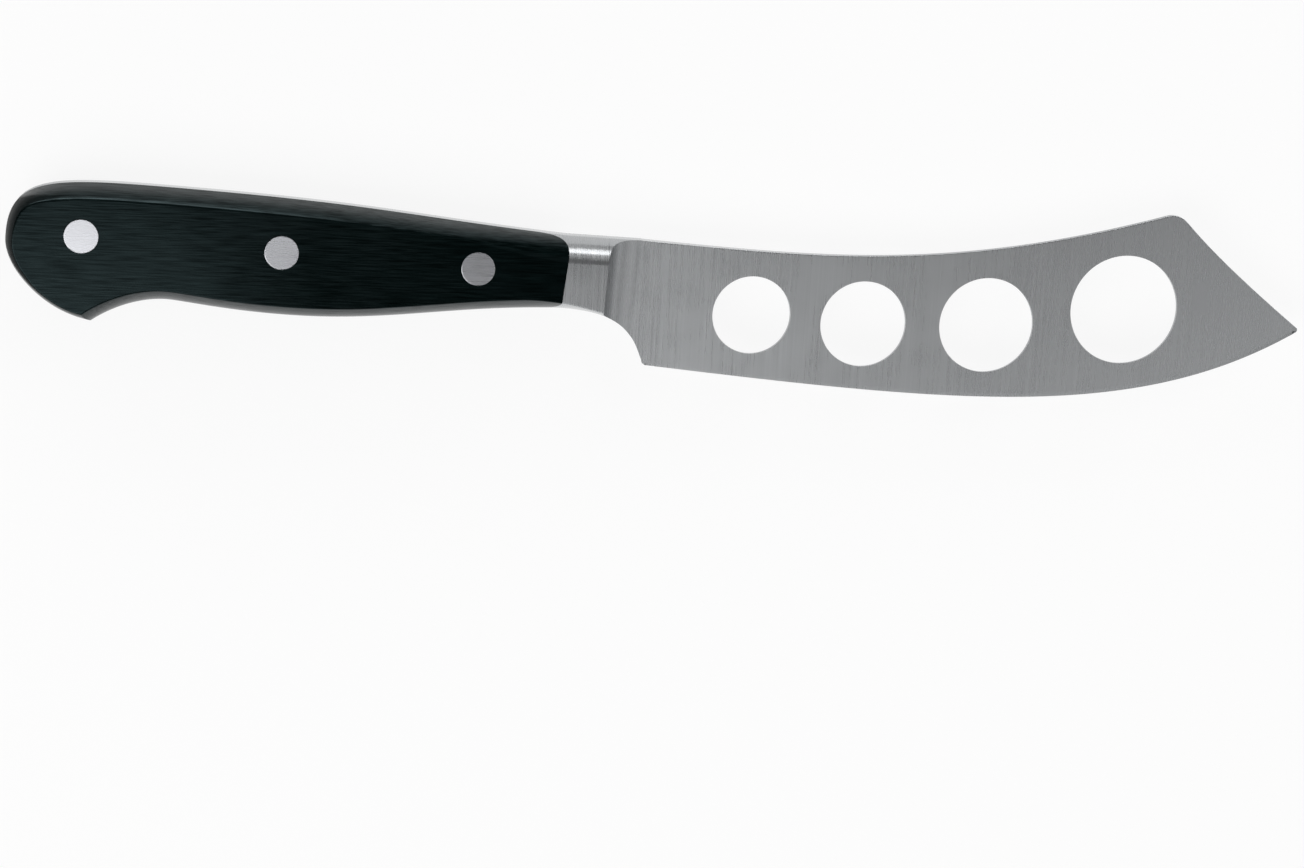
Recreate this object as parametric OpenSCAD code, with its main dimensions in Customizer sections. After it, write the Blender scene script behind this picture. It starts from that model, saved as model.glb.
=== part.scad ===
// Cheese knife: a forged blade with four graduated holes, made in one piece with its bolster and full tang,
// two grip scales and three rivets. Each rivet is a solid pin pressed into a tubular sleeve.
// The shapes are drawn about the shoulder, where the scales end: x runs to the tip, y from the rivet line
// to the spine, and z from the middle plane to the right-hand side. The knife lies on its left scale.

/* [Blade] */
// Length of the blade from heel to tip
blade_len = 140; // [130:1:150]
// Depth of the heel below the rivet line
heel_drop = 18.6; // [17:0.05:20]
// Height of the spine over the rivet line where it leaves the bolster
spine_h = 7.7; // [7:0.1:8.5]
// Distance from the heel to the front corner of the spine
corner_len = 110.5; // [105:0.5:114]
// Height of the front corner over the rivet line, before it is rounded
corner_h = 22.9; // [20:0.1:25]
// Radius of the front corner
corner_r = 4; // [2:0.1:6]
// Hollow of the slanted front end, at its deepest
front_bow = 0.8; // [0.2:0.05:1.2]
// Height of the blunt tip
tip_h = 0.8; // [0.4:0.1:1.4]
// Round on the heel corner
heel_round = 1; // [0.5:0.1:1.6]
// Thickness of the spine at the bolster
spine_t = 3; // [2.4:0.1:3.2]
// Thickness of the spine at its front corner
corner_t = 1.3; // [1:0.1:1.8]
// Thickness of the blank at the tip
tip_t = 0.6; // [0.4:0.05:0.9]
// Thickness just above the cutting bevel at the heel
heel_bevel_t = 0.4; // [0.3:0.05:0.5]
// Thickness just above the cutting bevel near the tip
tip_bevel_t = 0.6; // [0.5:0.05:0.8]
// Angle of each cutting bevel to the middle plane
bevel_angle = 18; // [14:1:24]
// Land left on the ground edge
edge_land = 0.06; // [0.04:0.01:0.1]

/* [Blade holes] */
// Diameter of the hole nearest the handle
hole_1_d = 16.5; // [15:0.1:18]
// Diameter of the second hole
hole_2_d = 18.2; // [16:0.1:19]
// Diameter of the third hole
hole_3_d = 20.2; // [18:0.1:21.5]
// Diameter of the hole nearest the tip
hole_4_d = 23.2; // [20:0.1:24]

/* [Bolster] */
// Length of the bolster's flat side, from the shoulder to the cove
bolster_len = 8.4; // [7:0.1:9.5]
// Radius of the ground cove between the bolster and the blade
cove_r = 7; // [6.4:0.1:8]
// Radius of the shoulder that the scales' front ends fit, seen from the spine
shoulder_r = 6.4; // [6.2:0.1:7]
// Lean of the shoulder towards the tip at the spine, in degrees
shoulder_lean = 3.5; // [1:0.5:5]
// Distance from the shoulder to the heel
heel_x = 18; // [17:0.1:19]
// Depth below the rivet line where the finger notch passes the front of the bolster
notch_h = 12.85; // [11.5:0.05:13.5]

/* [Grip] */
// Length of the scales from the shoulder to the butt
scale_len = 112; // [106:1:118]
// Thickness of the tang
tang_t = 3; // [2.6:0.1:3.4]
// Thickness of each scale
scale_t = 6; // [5.4:0.1:6.1]
// Height of the grip's top over the rivet line
grip_h = 10.45; // [9.5:0.05:11.5]
// Height of the grip's top at the shoulder
front_h = 7.45; // [7:0.05:8.2]
// Depth of the grip's underside at the shoulder
front_drop = 7.6; // [7:0.05:8.2]
// Depth of the belly below the rivet line
belly_drop = 13.6; // [12.8:0.05:14.5]
// Depth of the hollow in front of the butt point
hollow_drop = 12.35; // [11.5:0.05:12.7]
// Distance from the butt point forward to that hollow
hollow_run = 15; // [13:0.1:17]
// Depth of the butt point below the rivet line
point_drop = 17.95; // [16.5:0.05:19]
// Distance from the rearmost part of the butt forward to the butt point
point_in = 17.35; // [15.5:0.05:19]
// Depth of the rearmost part of the butt below the rivet line
butt_drop = 2.3; // [1:0.05:4]
// Crown of a scale at the spine side
spine_crown = 1.6; // [1:0.1:2.2]
// Crown of a scale round the butt
butt_crown = 1.9; // [1.2:0.1:2.4]
// Crown of a scale along the belly
belly_crown = 2.65; // [1.8:0.05:3]
// Crown of the bolster's underside
notch_crown = 1.2; // [0.8:0.1:1.6]
// Extra rounding of the spine side at the shoulder, where the thumb rests
thumb_drop = 2.8; // [1.5:0.1:3.2]
// Length over which that rounding grows towards the shoulder
thumb_len = 24; // [16:1:32]

/* [Rivets] */
// Diameter of the rivet heads
head_d = 6.8; // [6:0.1:7.4]
// Thickness of the rivet heads
head_t = 1.6; // [1.2:0.1:2]
// Outer diameter of the sleeves
sleeve_d = 4.4; // [4:0.1:4.8]
// Diameter of the solid pins
pin_d = 2.9; // [2.6:0.1:3.1]
// Distance from the shoulder back to the front rivet
front_rivet_x = 18; // [15:0.5:21]
// Distance from the butt forward to the rear rivet
rear_rivet_in = 15; // [13:0.5:17]
// Length of each sleeve below its head
sleeve_len = 10.6; // [9:0.1:11]
// Length of each pin below its head
pin_len = 11; // [9:0.1:11.2]

/* [Fits] */
// Gap between a scale's front end and the shoulder
seat_gap = 0.03; // [0.01:0.01:0.06]
// Gap round a rivet head in its counterbore
head_gap = 0.02; // [0.01:0.01:0.05]
// Gap round a rivet sleeve in the scales and the tang
shank_gap = 0.05; // [0.03:0.01:0.1]
// Gap round a pin in its sleeve
pin_gap = 0.02; // [0.01:0.01:0.04]
// Depth left in the sleeve below the end of the pin
pin_room = 0.4; // [0.2:0.1:0.6]

/* [Hidden] */
$fn = 96;
over = 4;          // overrun of every cutter past what it cuts
steel = [0.72, 0.73, 0.75];
black = [0.10, 0.12, 0.13];
bright = [0.86, 0.86, 0.88];

// Curves are cubics, given by their four control points as shares of the sizes that they span
top_shares = [[0, 0], [0.3, 0.43], [0.34, 1], [0.7, 1]];
butt_top_x_shares = [0.7, 0.92, 1, 1];
butt_top_h_share = 0.96;
butt_low_shares = [[1, 0], [1, 0.46], [0.475, 0.93], [0, 1]];
hook_shares = [[0, 0], [0.22, 0.465], [0.6, 1], [1, 1]];
belly_shares = [[0, 0], [0.12, 0], [0.485, 1], [1, 1]];
palm_shares = [[0, 0], [0.385, 0], [0.58, 0.76], [1, 1]];
notch_shares = [[0, 0], [0.505, 0], [0.775, 0.21], [1, 1]];
heel_shares = [[0, 0], [0.53, 0.36], [0.62, 0.6], [1, 1]];
spine_shares = [[0, 0], [0.345, -0.035], [0.59, -0.13], [1, 1]];
edge_shares = [[0, 1], [0.49, 1.165], [0.773, 1.205]];
hole_shares = [[0.157, -0.33], [0.327, -0.33], [0.515, -0.23], [0.724, 0.076]];
// Share of the slanted front end at which its hollow pulls, measured from the corner
bow_share = 0.3;
// Share of the scales' length at which the belly is lowest
belly_share = 0.506;
// Share of the blade's length behind which its sections stand upright, and ahead of which they fan out
fan_share = 0.74;
// Share of the cove's width at which the blade starts, inside the bolster
root_share = 0.5;
// Share of a short section's height that its cutting bevel may take
bevel_share = 0.4;
// Height and depth of the blunt heel's broken edge, as shares of its half thickness
heel_break_h_share = 0.5;
heel_break_t_share = 0.125;
// Power of the crown's rise from the tang to the flat side, and of the blade's taper along its spine
crown_power = 1.5;
taper_power = 2;
rings = 8;         // steps from the tang's face to the flat side

half_t = tang_t / 2;
side_z = half_t + scale_t;
spine_z = spine_t / 2;
cove_x = bolster_len + sqrt(pow(cove_r, 2) - pow(cove_r - side_z + spine_z, 2));
root_x = bolster_len + root_share * (cove_x - bolster_len);
tip_x = heel_x + blade_len;
corner = [heel_x + corner_len, corner_h];
heel_y = -heel_drop;
// Slope of the blade's faces across their height, from the spine to the heel
face_slope = (spine_z - heel_bevel_t / 2) / (spine_h + heel_drop);

function mix(a, b, s) = a + (b - a) * s;
function span(p, q, shares) = [for (s = shares) [mix(p[0], q[0], s[0]), mix(p[1], q[1], s[1])]];
function cubic(c, t) = pow(1 - t, 3) * c[0] + 3 * pow(1 - t, 2) * t * c[1]
    + 3 * (1 - t) * pow(t, 2) * c[2] + pow(t, 3) * c[3];
// Points along a cubic, without its last one
function run(c, n) = [for (i = [0 : n - 1]) cubic(c, i / n)];
// Point of a cubic at a given x, found by halving
function at_x(c, x, lo = 0, hi = 1, n = 24) = n == 0 ? cubic(c, (lo + hi) / 2)
    : cubic(c, (lo + hi) / 2)[0] < x ? at_x(c, x, (lo + hi) / 2, hi, n - 1) : at_x(c, x, lo, (lo + hi) / 2, n - 1);
function unit(v) = v / norm(v);
function smooth(s) = let (c = min(1, max(0, s))) c * c * (3 - 2 * c);

// Outline of the grip and bolster in the middle plane. The upper chain runs from the bolster's front along
// the spine and round the butt to its point, and the lower one from the point back to the bolster's front.
// Both have as many steps, and so many of each lie in front of the shoulder.
bolster_steps = 8;
top_steps = 14;
butt_steps = 18;
low_steps = 11;
hook_steps = 11;
belly_steps = 10;
palm_steps = 22;
inner_steps = 3;     // steps of the bolster's body that reach behind the shoulder
top_back = [-top_shares[3][0] * scale_len, grip_h];
rear = [-scale_len, -butt_drop];
point = [point_in - scale_len, -point_drop];
hollow = [point[0] + hollow_run, -hollow_drop];
belly = [-belly_share * scale_len, -belly_drop];
notch_top = [0, -front_drop];
notch_mid = [cove_x, -notch_h];
heel_top = [heel_x, heel_y + heel_round];
upper = concat(
    [for (i = [bolster_steps : -1 : 1]) let (s = i / bolster_steps) [s * cove_x, mix(front_h, spine_h, s)]],
    run([for (s = top_shares) [-s[0] * scale_len, mix(front_h, grip_h, s[1])]], top_steps),
    run([top_back, [-butt_top_x_shares[1] * scale_len, grip_h],
         [-scale_len, butt_top_h_share * grip_h], rear], butt_steps),
    run([for (s = butt_low_shares) [mix(point[0], rear[0], s[0]), mix(rear[1], point[1], s[1])]],
        low_steps),
    [point]);
lower = concat(
    run(span(point, hollow, hook_shares), hook_steps), run(span(hollow, belly, belly_shares), belly_steps),
    run(span(belly, notch_top, palm_shares), palm_steps),
    run(span(notch_top, notch_mid, notch_shares), bolster_steps), [notch_mid]);

// Outward normals of an open chain whose inside lies on its left
function normals(c) = [for (i = [0 : len(c) - 1])
    let (d = unit(c[min(i + 1, len(c) - 1)] - c[max(i - 1, 0)])) [d[1], -d[0]]];
// Distance along a chain from its first point
function reach(c, i) = i == 0 ? 0 : norm(c[i] - c[i - 1]) + reach(c, i - 1);
upper_n = normals(upper);
lower_n = normals(lower);
last = len(upper) - 1;
mitre_run = reach(lower, hook_steps);

// How far the grip's side is drawn in at level u, from 0 at the tang's face to 1 at the flat side
function upper_inset(p, n, u) =
    (butt_crown + (spine_crown - butt_crown) * pow(max(0, n[1]), 2)) * pow(u, crown_power)
    + thumb_drop * smooth(1 + p[0] / thumb_len) * (1 - sqrt(max(0, 1 - u * u)));
function lower_inset(p, u) = mix(belly_crown, notch_crown, smooth((p[0] + bolster_len) / (2 * bolster_len)))
    * pow(u, crown_power);
// Shift of the butt point that keeps both drawn-in sides meeting on one mitre
function mitre(u) = let (a = upper_n[last], b = lower_n[0], da = upper_inset(point, a, u),
    db = lower_inset(point, u), det = a[0] * b[1] - a[1] * b[0])
    [(db * a[1] - da * b[1]) / det, (da * b[0] - db * a[0]) / det];
function upper_point(i, u, z) = let (a = upper_n[last], w = max(0, 1 - norm(upper[i] - point) / mitre_run),
    p = upper[i] - upper_n[i] * upper_inset(upper[i], upper_n[i], u)
        + w * (mitre(u) + a * upper_inset(point, a, u))) [p[0], p[1], z];
function lower_point(i, u, z) = let (b = lower_n[0], w = max(0, 1 - norm(lower[i] - point) / mitre_run),
    p = lower[i] - lower_n[i] * lower_inset(lower[i], u) + w * (mitre(u) + b * lower_inset(point, u)))
    [p[0], p[1], z];
// Ring of the grip behind step i of both chains, and ring of the bolster in front of step i
function grip_ring(i, u, z) = concat([for (k = [i : last]) upper_point(k, u, z)],
    [for (k = [1 : last - i]) lower_point(k, u, z)]);
function bolster_ring(i, u, z) = concat([for (k = [0 : i]) upper_point(k, u, z)],
    [for (k = [last - i : last]) lower_point(k, u, z)]);
function level(k) = sin(90 * k / rings);

// Closed skin over a stack of rings of equal length that turn anticlockwise, seen from the last ring.
// Each end is closed by a ladder between the ring's two halves, which meet or come near at its middle.
module skin(stack) {
    n = len(stack[0]);
    m = len(stack);
    top = (m - 1) * n;
    polyhedron(
        points = [for (r = stack) each r],
        faces = concat(
            [for (i = [0 : floor(n / 2) - 1]) let (a = i, b = i + 1, c = n - 2 - i, d = n - 1 - i)
                each concat(b < c ? [[a, b, c], [top + c, top + b, top + a]] : [],
                            a < c ? [[a, c, d], [top + d, top + c, top + a]] : [])],
            [for (k = [0 : m - 2]) for (i = [0 : n - 1]) let (j = (i + 1) % n)
                each [[k * n + i, (k + 1) * n + i, (k + 1) * n + j], [k * n + i, (k + 1) * n + j, k * n + j]]]));
}

// Half of the grip's crowned body, from the face of the tang to the flat side
module grip_half() {
    skin([for (k = [0 : rings]) grip_ring(bolster_steps - 1, level(k), half_t + level(k) * scale_t)]);
}

// Crowned body of the bolster, of full thickness
module bolster_body() {
    i = bolster_steps + inner_steps;
    skin(concat([for (k = [rings : -1 : 0]) bolster_ring(i, level(k), -half_t - level(k) * scale_t)],
                [for (k = [0 : rings]) bolster_ring(i, level(k), half_t + level(k) * scale_t)]));
}

module tang() {
    i = bolster_steps;
    translate([0, 0, -half_t])
        linear_extrude(tang_t)
            polygon(concat([for (k = [i : last]) upper[k]], [for (k = [1 : last - i]) lower[k]]));
}

// Space of one scale: the face of the tang, rounded up into the shoulder; shift moves it to the butt
module scale_space(shift) {
    rotate([90, 0, -shoulder_lean])
        translate([-shoulder_r - shift, half_t, -scale_len / 2])
            linear_extrude(scale_len) {
                translate([-scale_len - over, 0])
                    square([scale_len + over, 2 * shoulder_r]);
                translate([0, shoulder_r])
                    circle(r = shoulder_r);
            }
}

// Cutter that leaves the concave cove between the bolster's side and the blade's face
module cove_cutter() {
    translate([cove_x, spine_h, spine_z])
        rotate([atan(face_slope), 0, 0])
            translate([0, -scale_len / 2, cove_r])
                rotate([-90, 0, 0])
                    cylinder(r = cove_r, h = scale_len);
}

// Outlines of the blade
spine_curve = span([root_x, spine_h], corner, spine_shares);
edge_curve = concat(
    [for (s = edge_shares) [mix(heel_x + heel_round, tip_x, s[0]), heel_y * s[1]]], [[tip_x, -tip_h / 2]]);
heel_curve = span(notch_mid, heel_top, heel_shares);
front_end = [tip_x, tip_h / 2];
front_dir = unit(front_end - corner);
front_side = [-front_dir[1], front_dir[0]];
front_mid = mix(corner, front_end, bow_share) - 2 * front_bow * front_side;
function front_point(t) = pow(1 - t, 2) * corner + 2 * (1 - t) * t * front_mid + pow(t, 2) * front_end;
// The corner's round touches the spine and the slanted end
spine_dir = unit(spine_curve[3] - spine_curve[2]);
end_dir = unit(front_mid - corner);
turn = acos(spine_dir * end_dir);
corner_run = corner_r * tan(turn / 2);
corner_in = corner - corner_run * spine_dir;
corner_mid = corner_in + corner_r * [spine_dir[1], -spine_dir[0]];
spine_angle = atan2(spine_dir[1], spine_dir[0]) + 90;
arc_steps = 5;
corner_arc = [for (i = [0 : arc_steps])
    let (a = spine_angle - turn * i / arc_steps) corner_mid + corner_r * [cos(a), sin(a)]];
corner_out_share = corner_run / norm(front_end - corner);

// Sections of the blade, each [top point, bottom point, half thickness at the top, at the bottom, ground]
heel_steps = 6;
long_steps = 36;
front_steps = 12;
upright_x = mix(heel_x, tip_x, fan_share);
start_x = heel_x + heel_round;
function spine_half(x) = mix(corner_t, spine_t, pow(max(0, 1 - (x - root_x) / (corner[0] - root_x)), taper_power)) / 2;
function bevel_half(x) = mix(heel_bevel_t, tip_bevel_t, (x - heel_x) / blade_len) / 2;
function blunt(p) = let (t = at_x(spine_curve, p[0]))
    [t, p, spine_half(p[0]), spine_half(p[0]) - face_slope * (t[1] - p[1]), false];
long_stations = [for (i = [0 : long_steps]) let (s = i / long_steps,
    top = at_x(spine_curve, mix(start_x, corner_in[0], s)), low = at_x(edge_curve, mix(start_x, upright_x, s)))
    [top, low, spine_half(top[0]), bevel_half(low[0]), true]];
fan_steps = arc_steps + front_steps;
fan_stations = [for (i = [1 : fan_steps]) let (
    q = max(0, i - arc_steps) / front_steps,
    top = i <= arc_steps ? corner_arc[i] : front_point(mix(corner_out_share, 1, q)),
    low = at_x(edge_curve, mix(upright_x, tip_x, i / fan_steps)))
    [top, low, mix(corner_t, tip_t, q) / 2, bevel_half(low[0]), true]];
// The blade's low end inside the bolster lies on the line along which the notch ends
notch_slope = (1 - notch_shares[2][1]) * (notch_mid[1] - notch_top[1]) / ((1 - notch_shares[2][0]) * cove_x);
inner_low = notch_mid - (cove_x - root_x) * [1, notch_slope];
blade_stations = concat(
    [[spine_curve[0], inner_low, spine_z, spine_z - face_slope * (spine_h - inner_low[1]), false]],
    [for (p = run(heel_curve, heel_steps)) blunt(p)],
    [blunt(heel_top)], long_stations, fan_stations);
// Ring of a section: spine, bevel shoulder and edge on the right side, then the same on the left
function section(v) = let (
    rise = v[4] ? min(v[3] / tan(bevel_angle), bevel_share * norm(v[0] - v[1])) : heel_break_h_share * v[3],
    up = v[1] + rise * unit(v[0] - v[1]),
    foot = v[4] ? edge_land / 2 : v[3] - heel_break_t_share * v[3])
    [[v[0][0], v[0][1], v[2]], [up[0], up[1], v[3]], [v[1][0], v[1][1], foot],
     [v[1][0], v[1][1], -foot], [up[0], up[1], -v[3]], [v[0][0], v[0][1], -v[2]]];

module blade_body() {
    skin([for (v = blade_stations) section(v)]);
}

holes_d = [hole_1_d, hole_2_d, hole_3_d, hole_4_d];
module blade_holes() {
    for (i = [0 : len(holes_d) - 1])
        translate([heel_x + hole_shares[i][0] * blade_len, hole_shares[i][1] * heel_drop, -side_z])
            cylinder(d = holes_d[i], h = 2 * side_z);
}

rivet_xs = [for (i = [0 : 2]) mix(-front_rivet_x, rear_rivet_in - scale_len, i / 2)];
module rivet_holes() {
    for (x = rivet_xs)
        translate([x, 0, -side_z - over])
            cylinder(d = sleeve_d + 2 * shank_gap, h = 2 * (side_z + over));
}
module head_holes() {
    for (x = rivet_xs)
        translate([x, 0, side_z - head_t])
            cylinder(d = head_d + 2 * head_gap, h = head_t + over);
}

// The whole knife is moved so that its origin is at the middle of its underside
top_y = max([for (v = blade_stations) v[0][1]]);
low_y = min([for (v = blade_stations) v[1][1]]);
module placed() {
    translate([(scale_len - tip_x) / 2, -(top_y + low_y) / 2, side_z])
        children();
}

module forged_blade() {
    color(steel)
        placed()
            difference() {
                union() {
                    tang();
                    difference() {
                        bolster_body();
                        for (side = [0, 1])
                            mirror([0, 0, side]) {
                                scale_space(0);
                                cove_cutter();
                            }
                    }
                    blade_body();
                }
                rivet_holes();
                blade_holes();
            }
}

module scale_shape() {
    difference() {
        intersection() {
            grip_half();
            scale_space(seat_gap);
        }
        rivet_holes();
        head_holes();
    }
}

module right_scale() {
    color(black)
        placed()
            scale_shape();
}

module left_scale() {
    color(black)
        placed()
            mirror([0, 0, 1])
                scale_shape();
}

// Solid half of a rivet, its head flush in the right scale
module rivet_pin(i) {
    color(bright)
        placed()
            translate([rivet_xs[i], 0, side_z - head_t]) {
                cylinder(d = head_d, h = head_t);
                translate([0, 0, -pin_len])
                    cylinder(d = pin_d, h = pin_len + head_t / 2);
            }
}

// Tubular half of a rivet, its head flush in the left scale
module rivet_sleeve(i) {
    pin_end = side_z - head_t - pin_len;
    color(bright)
        placed()
            translate([rivet_xs[i], 0, 0])
                difference() {
                    union() {
                        translate([0, 0, -side_z])
                            cylinder(d = head_d, h = head_t);
                        translate([0, 0, -side_z + head_t / 2])
                            cylinder(d = sleeve_d, h = sleeve_len + head_t / 2);
                    }
                    translate([0, 0, pin_end - pin_room])
                        cylinder(d = pin_d + 2 * pin_gap, h = 2 * side_z);
                }
}

forged_blade();
right_scale();
left_scale();
rivet_pin(0);  // front_rivet_pin
rivet_sleeve(0);  // front_rivet_sleeve
rivet_pin(1);  // middle_rivet_pin
rivet_sleeve(1);  // middle_rivet_sleeve
rivet_pin(2);  // rear_rivet_pin
rivet_sleeve(2);  // rear_rivet_sleeve
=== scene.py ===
"""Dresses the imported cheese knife: forged steel, black grip scales and flush rivets in a plain studio.

The maker's frame is in millimetres: x runs from the shoulder to the tip, y from the rivet line to the spine
and z from the middle plane to the right-hand side. Skin turns it into the row frame, in metres.
"""

import logging
import math
from dataclasses import dataclass, field
from enum import Enum

import bmesh
import bpy
import numpy as np
from mathutils import Matrix, Vector

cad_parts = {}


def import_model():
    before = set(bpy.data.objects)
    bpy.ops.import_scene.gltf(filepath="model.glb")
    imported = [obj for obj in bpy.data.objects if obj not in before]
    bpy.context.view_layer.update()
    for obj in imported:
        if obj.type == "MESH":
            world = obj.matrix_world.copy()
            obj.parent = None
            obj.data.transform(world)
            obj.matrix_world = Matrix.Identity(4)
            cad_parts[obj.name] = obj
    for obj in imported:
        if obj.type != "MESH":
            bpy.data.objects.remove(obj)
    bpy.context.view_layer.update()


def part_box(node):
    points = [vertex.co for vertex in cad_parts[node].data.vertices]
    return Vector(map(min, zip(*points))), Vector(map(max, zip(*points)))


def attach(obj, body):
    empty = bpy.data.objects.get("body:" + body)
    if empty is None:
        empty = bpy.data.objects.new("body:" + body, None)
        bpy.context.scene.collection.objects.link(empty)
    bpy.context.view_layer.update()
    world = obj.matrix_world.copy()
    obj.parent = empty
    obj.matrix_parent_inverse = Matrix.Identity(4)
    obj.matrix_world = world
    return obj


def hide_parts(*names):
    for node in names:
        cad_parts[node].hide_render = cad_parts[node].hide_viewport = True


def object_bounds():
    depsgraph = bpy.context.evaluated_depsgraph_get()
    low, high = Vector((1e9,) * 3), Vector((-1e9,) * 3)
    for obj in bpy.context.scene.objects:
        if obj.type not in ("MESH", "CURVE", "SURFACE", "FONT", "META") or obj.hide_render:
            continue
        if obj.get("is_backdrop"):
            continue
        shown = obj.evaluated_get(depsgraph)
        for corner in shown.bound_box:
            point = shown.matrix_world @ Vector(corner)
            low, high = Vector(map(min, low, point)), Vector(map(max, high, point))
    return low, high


LOG = logging.getLogger("cheese_knife")
MM = 0.001
# Distance in metres within which two points are one.
WELD = 1e-7
# Share of a face's width between its side and the row beside it, which keeps the edge crisp.
CRISP_SHARE = 0.004
# Share of z added to u and v, so that an upright wall has an area in the plan's map.
UV_LEAN = 0.25
# Values between which most of a noise lies.
NOISE_LOW, NOISE_HIGH = 0.3, 0.7
# Turn of a highlight from the plan's u direction to its v direction, in full turns.
QUARTER_TURN = 0.25
Points = np.ndarray
Pair = tuple[float, float]
Triple = tuple[float, float, float]
Colour = tuple[float, float, float, float]
# Inner control points of a curve, as shares of the way in x and in y.
Pulls = tuple[Pair, Pair]
Mesh = bpy.types.Mesh
Material = bpy.types.Material
Socket = bpy.types.NodeSocket


class Grain(Enum):
    """Direction in which a finish was brushed."""

    ACROSS = "lines run from the spine to the edge"
    ALONG = "lines run from the butt to the tip"


def mix(a: float | Points, b: float | Points, share: float | Points) -> Points:
    """Straight mix of a and b: a where share is 0, b where it is 1."""
    return a + (b - a) * share


def smooth(share: float | Points) -> Points:
    """Smooth step: 3 s squared less 2 s cubed, with s held between 0 and 1."""
    held = np.clip(share, 0.0, 1.0)
    return held * held * (3.0 - 2.0 * held)


def quarter(share: float) -> float:
    """Fall of a circle of radius 1 at a distance from its top: 1 less the root of 1 less its square."""
    return 1.0 - math.sqrt(max(0.0, 1.0 - share * share))


def ramp(count: int) -> Points:
    """Even shares from 0 to 1."""
    return np.linspace(0.0, 1.0, count)


def span(start: list[float], end: list[float], *inner: Pair) -> list[list[float]]:
    """Control points of a curve: start, inner ones at shares of the way in x and in y, and end."""
    return [[mix(start[k], end[k], share[k]) for k in range(2)] for share in ((0, 0), *inner, (1, 1))]


def cubic(control: list[list[float]], count: int = 400) -> Points:
    """Points along a cubic: each is the sum of the four control points times the Bernstein weights.

    Args:
        control: four control points.
        count: how many points to give, ends included.

    Returns:
        Array of shape (count, 2).
    """
    t = ramp(count)[:, None]
    c = np.asarray(control, float)
    s = 1.0 - t
    return s**3 * c[0] + 3 * s**2 * t * c[1] + 3 * s * t**2 * c[2] + t**3 * c[3]


def reach(line: Points) -> Points:
    """Distance along a line from its first point to each of its points."""
    return np.concatenate([[0.0], np.cumsum(np.linalg.norm(np.diff(line, axis=0), axis=1))])


def at(line: Points, place: Points) -> Points:
    """Points of a line at fractional places, where 0 is its first point and 1 its second."""
    index = np.arange(len(line))
    return np.stack([np.interp(place, index, values) for values in line.T], axis=-1)


def even(line: Points, count: int) -> Points:
    """The same line with count points, at equal distances along it."""
    far = reach(line)
    place = np.linspace(0.0, far[-1], count)
    return np.stack([np.interp(place, far, values) for values in line.T], axis=-1)


def outward(line: Points) -> Points:
    """Outward normals of a line whose inside lies on its left: its direction, a quarter to the right."""
    along = np.gradient(line, axis=0)
    along /= np.linalg.norm(along, axis=1)[:, None]
    return np.stack([along[:, 1], -along[:, 0]], axis=1)


def unit(way: Points) -> Points:
    """A direction of length 1."""
    return way / np.linalg.norm(way)


def raised(line: Points, z: float | Points) -> Points:
    """Points of a plan with their height added."""
    return np.concatenate([line, np.broadcast_to(z, line.shape[:-1])[..., None]], axis=-1)


def rungs(count: int) -> Points:
    """Shares of the way across a face: even, but for a row close to each side that keeps the edge crisp."""
    share = ramp(count)
    if count > 4:
        share[[1, -2]] = CRISP_SHARE, 1.0 - CRISP_SHARE
    return share


def ladder(first: Points, second: Points, count: int) -> Points:
    """Grid of straight rungs between two lines of the same length, count points to a rung."""
    return mix(first[:, None, :], second[:, None, :], rungs(count)[None, :, None])


class Skin:
    """Collects patches of a closed surface and makes one mesh of them."""

    def __init__(self) -> None:
        """Starts with no patch."""
        self.points: list[Points] = []
        self.faces: list[Points] = []
        self.count = 0

    def patch(self, grid: Points) -> None:
        """Adds the quads between the neighbours of a grid of points.

        Args:
            grid: array of shape (rows, columns, 3), in millimetres.
        """
        rows, columns, _ = grid.shape
        index = self.count + np.arange(rows * columns).reshape(rows, columns)
        quads = np.stack([index[:-1, :-1], index[1:, :-1], index[1:, 1:], index[:-1, 1:]], axis=-1)
        self.points.append(grid.reshape(-1, 3))
        self.faces.append(quads.reshape(-1, 4))
        self.count += rows * columns

    def mirror(self) -> None:
        """Adds every patch again, mirrored in the middle plane."""
        size = self.count
        self.points += [points * np.array([1.0, 1.0, -1.0]) for points in self.points]
        self.faces += [faces[:, ::-1] + size for faces in self.faces]
        self.count += size

    def mesh(self, name: str, origin: Points) -> Mesh:
        """Welds the patches where they meet and turns every face outwards.

        Args:
            name: name of the mesh.
            origin: the maker's origin in the row frame, in metres.

        Returns:
            The closed mesh, in metres in the row frame.
        """
        mesh = bpy.data.meshes.new(name)
        points = np.concatenate(self.points) * MM + origin
        mesh.from_pydata(points.tolist(), [], np.concatenate(self.faces).tolist())
        shell = bmesh.new()
        shell.from_mesh(mesh)
        bmesh.ops.remove_doubles(shell, verts=shell.verts, dist=WELD)
        bmesh.ops.dissolve_degenerate(shell, edges=shell.edges, dist=WELD)
        bmesh.ops.recalc_face_normals(shell, faces=shell.faces)
        shell.to_mesh(mesh)
        shell.free()
        return mesh


def lathe(profile: list[Pair], centre: Pair, steps: int) -> Skin:
    """Surface of revolution about an axis along z: radius and height of a profile, carried round a circle.

    Args:
        profile: pairs of radius and height, from the axis back to the axis, in millimetres.
        centre: the axis's x and y.
        steps: steps round the circle.

    Returns:
        The skin of the piece.
    """
    line = np.array(profile)
    angle = np.linspace(0.0, 2 * math.pi, steps + 1)
    angle[-1] = 0.0
    x = centre[0] + line[:, :1] * np.cos(angle)
    y = centre[1] + line[:, :1] * np.sin(angle)
    skin = Skin()
    skin.patch(np.stack([x, y, np.broadcast_to(line[:, 1:], x.shape)], axis=-1))
    return skin


def link(name: str, data: bpy.types.ID) -> bpy.types.Object:
    """Puts a new object into the scene."""
    made = bpy.data.objects.new(name, data)
    bpy.context.scene.collection.objects.link(made)
    return made


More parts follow.
